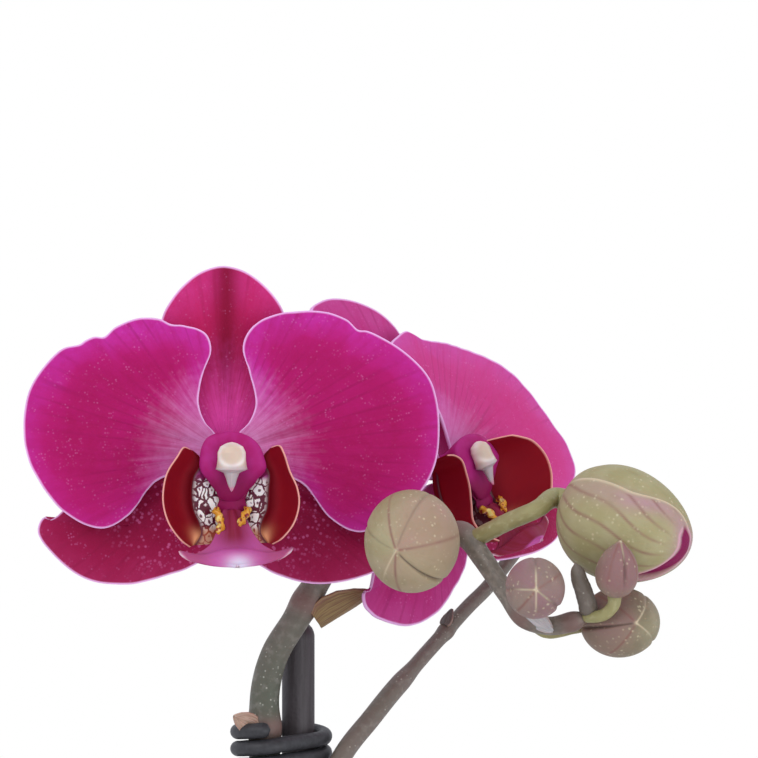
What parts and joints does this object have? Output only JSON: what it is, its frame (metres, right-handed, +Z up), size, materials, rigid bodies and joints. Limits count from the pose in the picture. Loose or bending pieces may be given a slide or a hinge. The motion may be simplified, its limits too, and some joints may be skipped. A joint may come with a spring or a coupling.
{
  "type": "potted orchid",
  "caption": "Potted moth orchid with a staked, branching spike of magenta flowers and green-pink buds in a plain ceramic cover pot.",
  "frame": {"origin": "centre of the cover pot's flat base, where it stands", "axes": "+Z up along the spike; -Y is the side the flowers face; +X is to the viewer's right"},
  "size_m": [0.2947, 0.1386, 0.4309],
  "materials": {
    "glazed_ceramic": "plain off-white glaze over ceramic, glossy",
    "clear_plastic": "clear thin plastic, slightly hazy",
    "bark": "rough broken bark chips, matte",
    "leaf": "waxy green leaf, satin",
    "root": "silvery green velamen, matte",
    "stake": "dark coated garden cane, satin",
    "tie": "soft grey rubber-coated wire, satin",
    "bract": "dry papery scale, matte",
    "stem": "grey-green stem with fine speckles, satin",
    "petal": "magenta petal, velvety with fine sparkle",
    "sepal": "crimson-magenta sepal, velvety",
    "lip": "dark red lip with a pale rim, satin",
    "column": "magenta column, satin",
    "anther_cap": "cream anther cap, waxy",
    "bud": "olive and pink mottled bud, satin"
  },
  "bodies": {
    "root": {"aerial_root_1": "root", "aerial_root_2": "root", "aerial_root_3": "root", "aerial_root_4": "root", "bark_mix": "bark", "branch_bract": "bract", "cover_pot": "glazed_ceramic", "crown": "leaf", "flower_spike": "stem", "front_flower_anther_cap": "anther_cap", "front_flower_column": "column", "front_flower_dorsal_sepal": "sepal", "front_flower_left_petal": "petal", "front_flower_left_sepal": "sepal", "front_flower_lip": "lip", "front_flower_right_petal": "petal", "front_flower_right_sepal": "sepal", "front_flower_stalk": "stem", "grow_pot": "clear_plastic", "leaf_1": "leaf", "leaf_2": "leaf", "leaf_3": "leaf", "leaf_4": "leaf", "leaf_5": "leaf", "low_bud": "bud", "low_bud_stalk": "stem", "opening_bud": "bud", "opening_bud_stalk": "stem", "rachis_bract_low": "bract", "rachis_bract_tip": "bract", "rear_flower_anther_cap": "anther_cap", "rear_flower_column": "column", "rear_flower_dorsal_sepal": "sepal", "rear_flower_left_petal": "petal", "rear_flower_left_sepal": "sepal", "rear_flower_lip": "lip", "rear_flower_right_petal": "petal", "rear_flower_right_sepal": "sepal", "rear_flower_stalk": "stem", "round_bud": "bud", "round_bud_stalk": "stem", "side_branch": "stem", "small_bud": "bud", "small_bud_stalk": "stem", "soft_tie_lower": "tie", "soft_tie_upper": "tie", "spike_bract_dry": "bract", "spike_bract_high": "bract", "spike_bract_low": "bract", "stake": "stake", "tip_bud": "bud", "tip_bud_stalk": "stem"}
  },
  "joints": []
}
